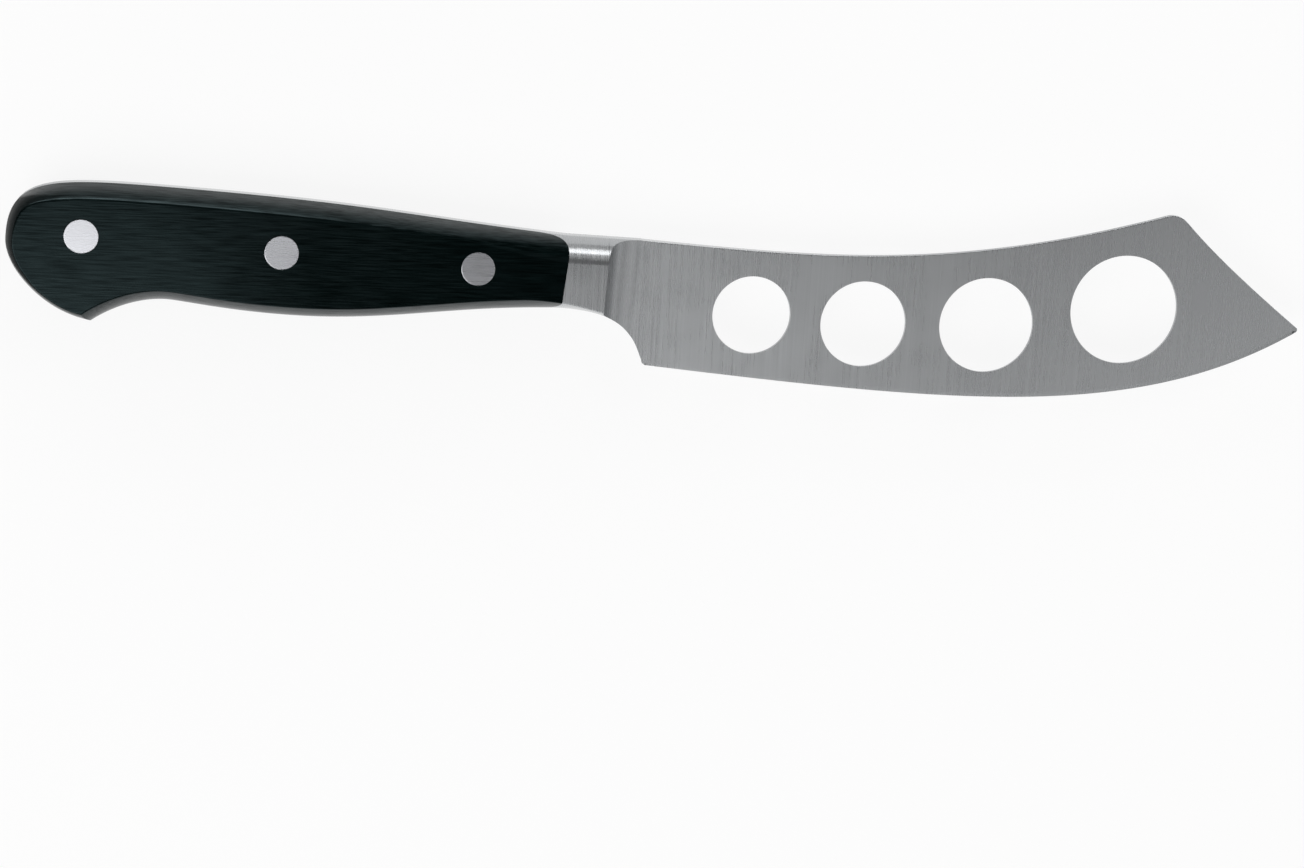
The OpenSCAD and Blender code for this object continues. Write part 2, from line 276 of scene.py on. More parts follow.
def cut(mesh: Mesh, cutters: list[Mesh], name: str) -> Mesh:
    """Takes the cutters' volumes out of a mesh and removes all of them, with their objects.

    Args:
        mesh: closed mesh to cut.
        cutters: closed meshes to take away.
        name: name of the mesh that is made.

    Returns:
        A new mesh.
    """
    body = link(name + "_blank", mesh)
    tools = [link(f"{name}_tool_{number}", cutter) for number, cutter in enumerate(cutters)]
    for tool in tools:
        change = body.modifiers.new(tool.name, "BOOLEAN")
        change.operation = "DIFFERENCE"
        change.solver = "EXACT"
        change.object = tool
    bpy.context.view_layer.update()
    graph = bpy.context.evaluated_depsgraph_get()
    made = bpy.data.meshes.new_from_object(body.evaluated_get(graph))
    made.name = name
    for used in (mesh, *cutters):
        bpy.data.meshes.remove(used)
    return made


def plan_uv(mesh: Mesh) -> None:
    """Gives the mesh a UV map in plan: u is x and v is y, in metres, each with a share of z added."""
    layer = mesh.uv_layers.new(name="plan")
    points = np.zeros(len(mesh.vertices) * 3)
    mesh.vertices.foreach_get("co", points)
    corner = np.zeros(len(mesh.loops), dtype=np.int32)
    mesh.loops.foreach_get("vertex_index", corner)
    points = points.reshape(-1, 3)[corner]
    plan = points[:, :2] + points[:, 2:] * UV_LEAN
    layer.data.foreach_set("uv", plan.astype(np.float32).ravel())


@dataclass(frozen=True)
class Piece:
    """One finished piece of the knife, whose edges stay crisp above its crease angle in degrees."""

    name: str
    slot: str
    replaces: tuple[str, ...]
    material: Material
    crease: float

    def finish(self, mesh: Mesh) -> None:
        """Turns a mesh into the piece, which rides on the knife.

        Args:
            mesh: the closed mesh, in the row frame.
        """
        plan_uv(mesh)
        mesh.shade_smooth()
        mesh.set_sharp_from_angle(angle=math.radians(self.crease))
        mesh.materials.append(self.material)
        made = link(self.name, mesh)
        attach(made, "root")
        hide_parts(*self.replaces)
        LOG.info("%s: %d triangles", self.name, sum(len(p.vertices) - 2 for p in mesh.polygons))


@dataclass(frozen=True)
class Grip:
    """Outline and crown of the grip, shared by the scales, the tang and the bolster."""

    scale_len: float = 112.0
    tang_t: float = 3.0
    scale_t: float = 6.0
    grip_h: float = 10.45
    front_h: float = 7.45
    front_drop: float = 7.6
    crest_share: float = 0.7
    rise_pulls: Pulls = ((0.3, 0.43), (0.34, 1.0))
    belly_drop: float = 13.6
    belly_share: float = 0.506
    hollow_drop: float = 12.35
    hollow_run: float = 15.0
    point_drop: float = 17.95
    point_in: float = 17.35
    butt_drop: float = 2.3
    butt_reach: float = 0.3
    butt_pulls: Pair = (0.93, 0.97)
    rear_pulls: Pulls = ((0.0, 0.46), (0.525, 0.93))
    hook_pulls: Pulls = ((0.22, 0.465), (0.6, 1.0))
    belly_pulls: Pulls = ((0.12, 0.0), (0.485, 1.0))
    front_pulls: Pulls = ((0.385, 0.0), (0.58, 0.76))
    notch_pulls: Pulls = ((0.505, 0.0), (0.775, 0.21))
    spine_crown: float = 2.65
    bolster_crown: float = 1.75
    butt_crown: float = 2.0
    butt_power: float = 12.0
    belly_crown: float = 2.65
    notch_crown: float = 1.2
    thumb_drop: float = 2.8
    thumb_len: float = 24.0
    belly_power: float = 1.5
    spine_draft: float = 0.6
    spine_power: float = 4.0
    spine_h: float = 7.7
    notch_h: float = 12.85
    bolster_len: float = 8.4
    cove_r: float = 7.0
    shoulder_r: float = 6.4
    shoulder_lean: float = 3.5
    seat_gap: float = 0.03
    edge_break: float = 0.2
    spine_t: float = 3.0
    samples: int = 3000
    strip_rows: int = 2
    crown_rows: int = 16
    break_rows: int = 8

    @property
    def half_t(self) -> float:
        """Half the tang's thickness."""
        return self.tang_t / 2

    @property
    def side_z(self) -> float:
        """Height of the flat side over the middle plane."""
        return self.half_t + self.scale_t

    @property
    def cove_x(self) -> float:
        """Place where the cove meets the blade's face."""
        rise = self.cove_r - self.side_z + self.spine_t / 2
        return self.bolster_len + math.sqrt(self.cove_r**2 - rise**2)

    @property
    def point(self) -> list[float]:
        """The butt's lower point."""
        return [self.point_in - self.scale_len, -self.point_drop]

    def upper(self) -> Points:
        """Outline in the middle plane from the bolster's front along the spine and round the butt.

        The rise's pulls are shares of the scale's length and of the rise. The butt's are a share of the
        scale's length and one of the grip's height.

        Returns:
            Array of shape (samples, 2).
        """
        front, crest = [0.0, self.front_h], [-self.crest_share * self.scale_len, self.grip_h]
        rear = [-self.scale_len - self.butt_reach, -self.butt_drop]
        height = self.grip_h - self.front_h
        rise = [[-run * self.scale_len, self.front_h + up * height] for run, up in self.rise_pulls]
        run, up = self.butt_pulls
        butt = [[-run * self.scale_len, self.grip_h], [rear[0], up * self.grip_h]]
        curves = [cubic(control)[1:] for control in (
            [front, *rise, crest], [crest, *butt, rear], span(rear, self.point, *self.rear_pulls))]
        return even(np.concatenate([[[self.cove_x, self.spine_h], front], *curves]), self.samples)

    def hook(self) -> Points:
        """Underside between the butt's point and the hollow in front of it."""
        hollow = [self.point[0] + self.hollow_run, -self.hollow_drop]
        return cubic(span(self.point, hollow, *self.hook_pulls))

    def lower(self) -> Points:
        """Outline in the middle plane from the butt's point along the belly to the bolster's front."""
        hook = self.hook()
        belly = [-self.belly_share * self.scale_len, -self.belly_drop]
        front, notch = [0.0, -self.front_drop], [self.cove_x, -self.notch_h]
        curves = [cubic(control)[1:] for control in (
            span(hook[-1], belly, *self.belly_pulls),
            span(belly, front, *self.front_pulls),
            span(front, notch, *self.notch_pulls))]
        return even(np.concatenate([hook, *curves]), self.samples)

    def levels(self) -> tuple[Points, Points]:
        """Rows of the side's profile from the middle plane to the flat side.

        The strip's rows rise evenly to the tang's face. The crown's rows follow the sine of an even angle,
        and so do the last rows, which close up towards the rounded edge of the flat side.

        Returns:
            Height z and crown level u of every row.
        """
        strip = np.linspace(0.0, self.half_t, self.strip_rows + 1)[:-1]
        start = 1.0 - self.edge_break / self.scale_t
        crown = np.sin(np.linspace(0.0, math.asin(start), self.crown_rows + 1))
        last = np.sin(np.linspace(0.0, math.pi / 2, self.break_rows + 1)[1:])
        u = np.concatenate([crown, mix(start, 1.0, last)])
        heights = np.concatenate([strip, self.half_t + u * self.scale_t])
        return heights, np.concatenate([np.zeros(len(strip)), u])

    def rounding(self, u: float) -> float:
        """Quarter circle that breaks the edge beside the flat side."""
        return self.edge_break * quarter(max(0.0, 1.0 - (1.0 - u) * self.scale_t / self.edge_break))


class Sides:
    """The grip's two long sides, upper and lower, drawn in row by row by their crown."""

    def __init__(self, grip: Grip) -> None:
        """Works out both sides at every row, and their stretches near the bolster, towards growing x.

        Args:
            grip: sizes of the grip.
        """
        self.grip = grip
        self.near = grip.samples // 3
        self.upper, self.lower = grip.upper(), grip.lower()
        self.normals = outward(self.upper), outward(self.lower)
        self.mitre_run = reach(grip.hook())[-1]
        self.z, levels = grip.levels()
        self.rows = len(self.z)
        self.drawn = np.array([self.drawn_in(u) for u in levels]).swapaxes(0, 1)
        self.stretches = self.drawn[0][:, :self.near][:, ::-1], self.drawn[1][:, -self.near:]

    def inset_upper(self, u: float) -> Points:
        """How far the upper side is drawn in at level u.

        Part of the full crown, which changes along the spine and round the butt, is a straight draft. The
        rest goes with a power of u that rounds it near the flat side. The edge's break is added, and so is
        the drop of a quarter circle that grows smoothly towards the shoulder.

        Args:
            u: level, 0 at the tang and 1 at the flat side.

        Returns:
            The inset of every point of the outline.
        """
        g = self.grip
        near = smooth(1.0 + self.upper[:, 0] / g.thumb_len)
        spine = mix(g.spine_crown, g.bolster_crown, near)
        full = mix(g.butt_crown, spine, np.maximum(0.0, self.normals[0][:, 1]) ** g.butt_power)
        drawn = full * mix(u**g.spine_power, u, g.spine_draft) + g.rounding(u)
        return drawn + g.thumb_drop * near * quarter(u)

    def inset_lower(self, u: float) -> Points:
        """How far the lower side is drawn in at level u: its crown times a power of u, and the break."""
        g = self.grip
        share = smooth((self.lower[:, 0] + g.bolster_len) / (2 * g.bolster_len))
        return mix(g.belly_crown, g.notch_crown, share) * u**g.belly_power + g.rounding(u)

    def drawn_in(self, u: float) -> list[Points]:
        """Both sides at level u.

        Each is its outline less its normal times its inset. Towards the butt's point a growing share of one
        shift takes the inset's place, which keeps both sides meeting on a mitre.

        Args:
            u: level, 0 at the tang and 1 at the flat side.

        Returns:
            The upper and the lower side.
        """
        sides = ((self.upper, self.normals[0], self.inset_upper(u), -1),
                 (self.lower, self.normals[1], self.inset_lower(u), 0))
        (a, da), (b, db) = ((normal[end], inset[end]) for _, normal, inset, end in sides)
        shift = np.array([db * a[1] - da * b[1], da * b[0] - db * a[0]]) / (a[0] * b[1] - a[1] * b[0])
        lines = []
        for base, normal, inset, end in sides:
            far = np.linalg.norm(base - base[end], axis=1)
            share = np.maximum(0.0, 1.0 - far / self.mitre_run)[:, None]
            lines.append(base - normal * inset[:, None] + share * (shift + normal[end] * inset[end]))
        return lines

    def shoulder(self, z: float, gap: float) -> float:
        """Distance of the shoulder along its leaning axis: a quarter circle up from the tang's face."""
        g = self.grip
        up = g.half_t + g.shoulder_r - max(z, g.half_t)
        return -g.shoulder_r - gap + math.sqrt(max(0.0, g.shoulder_r**2 - up * up))

    def crossings(self, row: int, gap: float) -> Pair:
        """Fractional places where a row's upper and lower sides cross the shoulder.

        Args:
            row: row of the profile.
            gap: gap left between the shoulder and the piece.

        Returns:
            Place on the upper side and place on the lower side.
        """
        lean = math.radians(self.grip.shoulder_lean)
        turn = np.array([math.cos(lean), -math.sin(lean)])
        goal = self.shoulder(self.z[row], gap)
        index = np.arange(self.grip.samples)
        above, below = (side[row] @ turn for side in self.drawn)
        place = np.interp(-goal, -above[:self.near], index[:self.near])
        return float(place), float(np.interp(goal, below[-self.near:], index[-self.near:]))

    def column_lines(self, row: int, gap: float, shares: Points) -> tuple[Points, Points]:
        """Both sides of a row behind the shoulder, from the front to the butt's point, at given shares."""
        start, stop = self.crossings(row, gap)
        upper = at(self.drawn[0][row], mix(start, self.grip.samples - 1.0, shares))
        return upper, at(self.drawn[1][row], stop * (1.0 - shares))


@dataclass(frozen=True)
class Blade:
    """Sizes of the blade."""

    blade_len: float = 140.0
    heel_x: float = 18.0
    heel_drop: float = 18.6
    heel_round: float = 1.0
    heel_zone: float = 2.0
    corner_len: float = 110.5
    corner_h: float = 22.9
    corner_r: float = 4.0
    corner_zone: Pair = (5.0, 3.0)
    front_bow: float = 0.8
    bow_share: float = 0.3
    spine_pulls: Pulls = ((0.345, -0.035), (0.59, -0.13))
    heel_pulls: Pulls = ((0.53, 0.36), (0.62, 0.6))
    edge_pulls: Pulls = ((0.49, 1.165), (0.773, 1.205))
    tip_h: float = 0.8
    corner_t: float = 1.3
    tip_t: float = 0.6
    heel_bevel_t: float = 0.4
    tip_bevel_t: float = 0.6
    bevel_angle: float = 18.0
    bevel_start: float = 1.4
    bevel_limit: float = 0.4
    edge_land: float = 0.06
    taper_power: float = 2.0
    spine_break: float = 0.16
    break_limit: float = 0.3
    break_start: float = 4.0
    hole_d: tuple[float, ...] = (16.5, 18.2, 20.2, 23.2)
    hole_shares: tuple[Pair, ...] = (
        (0.157, -0.33), (0.327, -0.33), (0.515, -0.23), (0.724, 0.076))
    hole_steps: int = 128
    long_points: int = 900
    front_points: int = 600
    heel_points: int = 300
    arc_points: int = 60
    round_points: int = 30
    sections: tuple[int, ...] = (25, 13, 8, 104, 39, 45)

    @property
    def tip_x(self) -> float:
        """Distance of the tip from the shoulder."""
        return self.heel_x + self.blade_len

    @property
    def corner(self) -> Points:
        """The front corner before it is rounded."""
        return np.array([self.heel_x + self.corner_len, self.corner_h])


class BladeForm:
    """Heights and thicknesses of the blade along its length."""

    def __init__(self, blade: Blade, grip: Grip) -> None:
        """Works out the blade's spine and edge lines.

        Args:
            blade: sizes of the blade.
            grip: sizes of the grip, for the place where the blade leaves the bolster.
        """
        self.blade, self.grip = blade, grip
        self.face_slope = (grip.spine_t / 2 - blade.heel_bevel_t / 2) / (grip.spine_h + blade.heel_drop)
        self.spine_line = self.trace_spine()
        self.edge_line = self.trace_edge()

    def trace_spine(self) -> Points:
        """Spine from the bolster to the tip: a cubic, the corner's arc and the hollow slanted end."""
        b, g = self.blade, self.grip
        root = [mix(g.bolster_len, g.cove_x, 0.5), g.spine_h]
        control = np.array(span(root, b.corner, *b.spine_pulls))
        spine = cubic(control, b.long_points)
        end = np.array([b.tip_x, b.tip_h / 2])
        along = unit(end - b.corner)
        pull = mix(b.corner, end, b.bow_share) - 2 * b.front_bow * np.array([-along[1], along[0]])
        spine_dir = unit(control[3] - control[2])
        turn = math.acos(float(spine_dir @ unit(pull - b.corner)))
        first = b.corner - b.corner_r * math.tan(turn / 2) * spine_dir
        middle = first + b.corner_r * np.array([spine_dir[1], -spine_dir[0]])
        angle = math.atan2(spine_dir[1], spine_dir[0]) + math.pi / 2 - turn * ramp(b.arc_points)
        arc = middle + b.corner_r * np.stack([np.cos(angle), np.sin(angle)], axis=1)
        t = ramp(b.front_points)[:, None]
        front = (1 - t) ** 2 * b.corner + 2 * (1 - t) * t * pull + t**2 * end
        return np.concatenate([spine[spine[:, 0] < first[0]], arc, front[front[:, 0] > arc[-1, 0]]])

    def trace_edge(self) -> Points:
        """Underside from the bolster to the tip: the heel's cubic, its round corner and the long edge.

        The edge's pulls are shares of its length and of the heel's drop.

        Returns:
            Array of shape (points, 2).
        """
        b, g = self.blade, self.grip
        start = b.heel_x + b.heel_round
        foot = b.heel_round - b.heel_drop
        notch = [g.cove_x, -g.notch_h]
        heel = cubic(span(notch, [b.heel_x, foot], *b.heel_pulls), b.heel_points)
        angle = np.linspace(0.0, math.pi / 2, b.round_points)
        arc = np.stack([start - b.heel_round * np.cos(angle), foot - b.heel_round * np.sin(angle)], axis=1)
        pulls = [[mix(start, b.tip_x, share), -drop * b.heel_drop] for share, drop in b.edge_pulls]
        long = cubic([[start, -b.heel_drop], *pulls, [b.tip_x, -b.tip_h / 2]], b.long_points)
        return np.concatenate([heel, arc[1:], long[1:]])

    def stations(self) -> Points:
        """Places along the blade where its sections stand, close together at the heel, corner and tip."""
        b, g = self.blade, self.grip
        climb, bend, *runs = b.sections
        heel, corner = b.heel_x + b.heel_round, b.corner[0]
        stops = [heel, heel + b.heel_zone, corner - b.corner_zone[0], corner + b.corner_zone[1], b.tip_x]
        return np.concatenate([
            mix(g.cove_x, b.heel_x, np.sin(ramp(climb + 1) * math.pi / 2))[:-1],
            b.heel_x + b.heel_round * (1.0 - np.cos(np.linspace(0.0, math.pi / 2, bend + 1)))[:-1],
            *(np.linspace(a, z, count + 1)[:-1] for a, z, count in zip(stops, stops[1:], runs)), [b.tip_x]])

    def top(self, x: Points) -> Points:
        """Height of the spine or of the slanted end at x."""
        return np.interp(x, *self.spine_line.T)

    def bottom(self, x: Points) -> Points:
        """Height of the heel or of the cutting edge at x."""
        return np.interp(x, *self.edge_line.T)

    def spine_half(self, x: Points) -> Points:
        """Half thickness along the spine: it falls with a power of the distance to the front corner."""
        b, g = self.blade, self.grip
        corner = b.corner[0]
        left = np.clip((corner - x) / (corner - g.cove_x), 0.0, 1.0)
        long = mix(b.corner_t, g.spine_t, left**b.taper_power) / 2
        end = mix(b.corner_t, b.tip_t, np.clip((x - corner) / (b.tip_x - corner), 0.0, 1.0)) / 2
        return np.where(x < corner, long, end)

    def ground(self, x: Points) -> Points:
        """How far the cutting bevel has set in at x: it starts smoothly at the heel."""
        return smooth((x - self.blade.heel_x) / self.blade.bevel_start)

    def low_half(self, x: Points) -> Points:
        """Half thickness along the face's foot: the heel's plane, then the top of the cutting bevel."""
        b = self.blade
        plane = self.spine_half(x) - self.face_slope * (self.top(x) - self.bottom(x))
        bevel = mix(b.heel_bevel_t, b.tip_bevel_t, np.clip((x - b.heel_x) / b.blade_len, 0.0, 1.0)) / 2
        return mix(plane, bevel, self.ground(x))

    def bevel_rise(self, x: Points) -> Points:
        """Height of the cutting bevel at x, which grows from nothing at the heel."""
        full = self.low_half(x) / math.tan(math.radians(self.blade.bevel_angle))
        limit = self.blade.bevel_limit * (self.top(x) - self.bottom(x))
        return np.minimum(full, limit) * self.ground(x)


@dataclass
class Forging:
    """Blade, bolster and tang in one piece of steel."""

    grip: Grip
    blade: Blade
    origin: Points
    rung_points: int = 44
    lead_columns: int = 8
    arch_columns: int = 10
    cove_columns: int = 30
    strip_columns: int = 260
    shoulder_front: float = 2.5
    cove_end: float = 0.99999
    sides: Sides = field(init=False)
    form: BladeForm = field(init=False)

    def __post_init__(self) -> None:
        """Works out the side rows and the blade's lines."""
        self.sides = Sides(self.grip)
        self.form = BladeForm(self.blade, self.grip)

    def build(self) -> Mesh:
        """Makes the closed surface of the forging with its four holes."""
        skin = Skin()
        self.add_front(skin)
        self.add_rear(skin)
        skin.mirror()
        return cut(skin.mesh("forging", self.origin), self.hole_tools(), "forged_steel")

    def face_low(self, y: Points) -> Points:
        """Height of the blade's face where it leaves the cove, which falls with the face's slope."""
        return self.grip.spine_t / 2 - self.form.face_slope * (self.grip.spine_h - y)

    def cove(self, x: Points, y: Points) -> Points:
        """Height of the cove: the face's height plus the rise of a circle of the cove's radius."""
        g = self.grip
        off = np.clip(g.cove_x - x, 0.0, g.cove_r * self.cove_end)
        return self.face_low(y) + g.cove_r - np.sqrt(g.cove_r**2 - off**2)

    def arch_x(self, near: Points) -> float:
        """Place where the cove's arch begins on the flat side, at one side's stretch near the bolster."""
        g = self.grip
        y = float(np.interp(g.bolster_len, *near[-1].T))
        up = g.cove_r - (g.side_z - float(self.face_low(y)))
        return g.cove_x - math.sqrt(g.cove_r**2 - up * up)

    def add_front(self, skin: Skin) -> None:
        """Adds bolster, cove and blade: sections of the same point count, one behind the other."""
        s = self.sides
        starts = np.array([s.crossings(row, 0.0) for row in range(s.rows)]).T
        arches = [self.arch_x(near) for near in s.stretches]
        lead, flat = ramp(self.lead_columns + 1)[:-1], ramp(self.arch_columns + 1)
        walls = []
        for side, near, start, arch in zip(s.drawn, s.stretches, starts, arches):
            first = np.array([at(line, place)[0] for line, place in zip(side, start)])[:, None]
            bolster = np.broadcast_to(mix(self.shoulder_front, arch, flat), (s.rows, len(flat)))
            x = np.concatenate([mix(first, self.shoulder_front, lead), bolster], axis=1)
            y = np.stack([np.interp(row, *line.T) for row, line in zip(x, near)])
            walls.append(np.stack([x, y, np.broadcast_to(s.z[:, None], x.shape)], axis=-1))
        face = ladder(walls[0][-1], walls[1][-1], self.rung_points).transpose(1, 0, 2)
        blade = self.blade_sections()
        for grids in zip((walls[0], face, walls[1]), self.cove_sections(arches), blade):
            skin.patch(np.concatenate(grids, axis=1))
        self.add_tip(skin, blade[1][:, -1], blade[2][:, -1])

    def cove_sections(self, arches: list[float]) -> tuple[Points, ...]:
        """Sections where the cove cuts the bolster: each side's profile ends where it meets the cove.

        Args:
            arches: places of the arch at its upper and at its lower end.

        Returns:
            Grids of the upper side, the cove and the lower side.
        """
        g, s = self.grip, self.sides
        first = math.asin((g.cove_x - g.bolster_len) / g.cove_r)
        angles = np.linspace(first, 0.0, self.cove_columns + 1)[1:]
        index = np.arange(s.rows)
        grids: list[list[Points]] = [[], [], []]
        for angle in angles:
            ends = []
            for side, arch in zip(s.stretches, arches):
                x = g.cove_x - g.cove_r * np.sin(angle) + (arch - g.bolster_len) * (angle / first) ** 2
                y = np.array([np.interp(x, *line.T) for line in side])
                stop = float(np.interp(0.0, s.z - self.cove(x, y), index))
                rows = np.linspace(0.0, stop, s.rows)
                ends.append(np.stack([np.full(s.rows, x), np.interp(rows, index, y),
                                      np.interp(rows, index, s.z)], axis=1))
            face = mix(ends[0][-1][None], ends[1][-1][None], rungs(self.rung_points)[:, None])
            face[1:-1, 2] = self.cove(face[1:-1, 0], face[1:-1, 1])
            for grid, line in zip(grids, (ends[0], face, ends[1])):
                grid.append(line)
        return tuple(np.stack(grid, axis=1) for grid in grids)

    def blade_sections(self) -> tuple[Points, Points, Points]:
        """Sections of the blade: the spine's strip, the flat face, and the heel's strip or cutting bevel.

        Returns:
            Grids of the spine, the face and the foot.
        """
        f, b, rows = self.form, self.blade, self.sides.rows
        x = f.stations()[1:]
        top, bottom, rise = f.top(x), f.bottom(x), f.bevel_rise(x)
        half, low = f.spine_half(x), f.low_half(x)
        plan = np.broadcast_to(x, (rows, len(x)))
        wide = np.broadcast_to(x, (self.rung_points, len(x)))
        grow = smooth((x - self.grip.cove_x) / b.break_start)
        ease = np.minimum(b.spine_break, b.break_limit * half) * grow
        down = rungs(self.rung_points)[:, None]
        face = np.stack([wide, mix(top - ease, bottom + rise, down), mix(half, low, down)], axis=-1)
        flat = rows - self.grip.break_rows
        up = np.clip(np.arange(rows) / (flat - 1), 0.0, 1.0)[:, None]
        bend = np.clip((np.arange(rows) - flat + 1) / self.grip.break_rows, 0.0, 1.0)[:, None]
        spine_z = (half - ease) * up + ease * (2 * bend * (1 - bend) + bend**2)
        spine = np.stack([plan, top - ease * bend**2, spine_z], axis=-1)
        climb = ramp(rows)[:, None]
        bevel = np.clip((climb * (rows - 1) - 1) / (rows - 2), 0.0, 1.0)
        sharp = np.where(climb > 0, mix(b.edge_land / 2, low, bevel), 0.0)
        foot = np.stack([plan, bottom + rise * bevel, mix(low * climb, sharp, f.ground(x))], axis=-1)
        return spine, face, foot

    def add_tip(self, skin: Skin, face: Points, foot: Points) -> None:
        """Closes the blunt tip between its face, its bevel and the middle plane."""
        climb = ramp(self.sides.rows)[None, :, None]
        high = np.repeat(face[:, None, :], self.sides.rows, axis=1)
        flat = high * np.array([1.0, 1.0, 0.0])
        skin.patch(mix(flat, high, climb))
        skin.patch(ladder(mix(flat[-1, 0], face[-1], climb[0]), foot, 2))

    def add_rear(self, skin: Skin) -> None:
        """Adds the shoulder and the tang behind it, up to the butt."""
        s, strip = self.sides, self.grip.strip_rows
        grids = []
        for row in range(strip, s.rows):
            pair = np.stack([at(side[row], place) for side, place in zip(s.drawn, s.crossings(row, 0.0))])
            grids.append(raised(ladder(pair[:1], pair[1:], self.rung_points)[0], s.z[row]))
        skin.patch(np.stack(grids))
        upper, lower = s.column_lines(strip, 0.0, ramp(self.strip_columns))
        for line in (upper, lower):
            skin.patch(np.stack([raised(line, z) for z in s.z[:strip + 1]]))
        skin.patch(raised(ladder(upper, lower, self.rung_points), self.grip.half_t))

    def hole_tools(self) -> list[Mesh]:
        """Cutters for the four holes, each a drum that passes through the blade."""
        b, high = self.blade, self.grip.side_z
        tools = []
        for diameter, (along, down) in zip(b.hole_d, b.hole_shares):
            centre = (b.heel_x + along * b.blade_len, down * b.heel_drop)
            profile = [(0.0, -high), (diameter / 2, -high), (diameter / 2, high), (0.0, high)]
            tools.append(lathe(profile, centre, b.hole_steps).mesh("drum", self.origin))
        return tools


@dataclass(frozen=True)
class Rivets:
    """The three rivets: solid pins whose heads lie in the right scale, in sleeves from the left one."""

    grip: Grip
    head_d: float = 6.8
    head_t: float = 1.6
    sleeve_d: float = 4.4
    pin_d: float = 2.9
    front_rivet_x: float = 18.0
    rear_rivet_in: float = 15.0
    sleeve_len: float = 10.6
    pin_len: float = 11.0
    head_gap: float = 0.02
    shank_gap: float = 0.05
    pin_gap: float = 0.02
    pin_room: float = 0.4
    head_break: float = 0.08
    break_bow: float = 0.3
    cutter_over: float = 2.0
    steps: int = 96

    def origin(self) -> Points:
        """The maker's origin in the row frame: x and y from the front rivet, z from the whole knife."""
        low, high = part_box("front_rivet_pin")
        bottom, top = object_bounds()
        middle = (low + high) / 2
        return np.array([middle.x + self.front_rivet_x * MM, middle.y, (bottom.z + top.z) / 2])

    def centres(self) -> dict[str, float]:
        """Every rivet's x by its name, from the front to the rear."""
        first, last = -self.front_rivet_x, self.rear_rivet_in - self.grip.scale_len
        return {name: float(mix(first, last, k / 2)) for k, name in enumerate(("front", "middle", "rear"))}

    def head(self, z: float, way: float) -> list[Pair]:
        """Profile of a flush head from its middle to its rim, with a small break, at height z."""
        r, e = self.head_d / 2, self.head_break
        bow = self.break_bow * e
        return [(0.0, z), (r / 2, z), (r - e, z), (r - bow, z - way * bow), (r, z - way * e),
                (r, z - way * self.head_t)]

    def pin(self, x: float) -> Skin:
        """Solid half of a rivet: its head, its shank and its lower end, carried round a circle."""
        top, r = self.grip.side_z, self.pin_d / 2
        end = top - self.head_t - self.pin_len
        profile = self.head(top, 1.0) + [(r, top - self.head_t), (r, end), (0.0, end)]
        return lathe(profile, (x, 0.0), self.steps)

    def sleeve(self, x: float) -> Skin:
        """Tubular half of a rivet: its head, its tube and the pin's bore, carried round a circle."""
        bottom, r = -self.grip.side_z, self.sleeve_d / 2
        bore = self.pin_d / 2 + self.pin_gap
        mouth = bottom + self.head_t + self.sleeve_len
        floor = -bottom - self.head_t - self.pin_len - self.pin_room
        profile = self.head(bottom, -1.0) + [(r, bottom + self.head_t), (r, mouth), (bore, mouth),
                                             (bore, floor), (0.0, floor)]
        return lathe(profile, (x, 0.0), self.steps)

    def recess(self, x: float, way: float) -> Skin:
        """Cutter for a scale's hole: the head's counterbore with a broken rim, and the shank's hole."""
        rim, e = self.grip.side_z, self.head_break
        seat, over = rim - self.head_t, rim + self.cutter_over
        shank, head = self.sleeve_d / 2 + self.shank_gap, self.head_d / 2 + self.head_gap
        profile = [(0.0, 0.0), (shank, 0.0), (shank, seat), (head, seat), (head, rim - e), (head + e, rim),
                   (head + e, over), (0.0, over)]
        return lathe([(r, way * z) for r, z in profile], (x, 0.0), self.steps)


@dataclass(frozen=True)
class Scale:
    """One grip scale: way is 1 for the right one and -1 for the left one."""

    rivets: Rivets
    origin: Points
    way: float
    columns: int = 260
    rung_points: int = 30

    def build(self) -> Mesh:
        """Makes the closed surface of the scale with its three stepped holes."""
        g, skin = self.rivets.grip, Skin()
        s = Sides(g)
        rows = range(g.strip_rows, s.rows)
        lines = [s.column_lines(row, g.seat_gap, ramp(self.columns)) for row in rows]
        heights = s.z[g.strip_rows:] * self.way
        upper, lower = (np.stack([raised(pair[k], z) for pair, z in zip(lines, heights)]) for k in range(2))
        skin.patch(upper)
        skin.patch(lower)
        for first, second in ((upper[-1], lower[-1]), (upper[0], lower[0]), (upper[:, 0], lower[:, 0])):
            skin.patch(ladder(first, second, self.rung_points))
        recesses = [self.rivets.recess(x, self.way) for x in self.rivets.centres().values()]
        tools = [recess.mesh("recess", self.origin) for recess in recesses]
        return cut(skin.mesh("scale_blank", self.origin), tools, "scale")


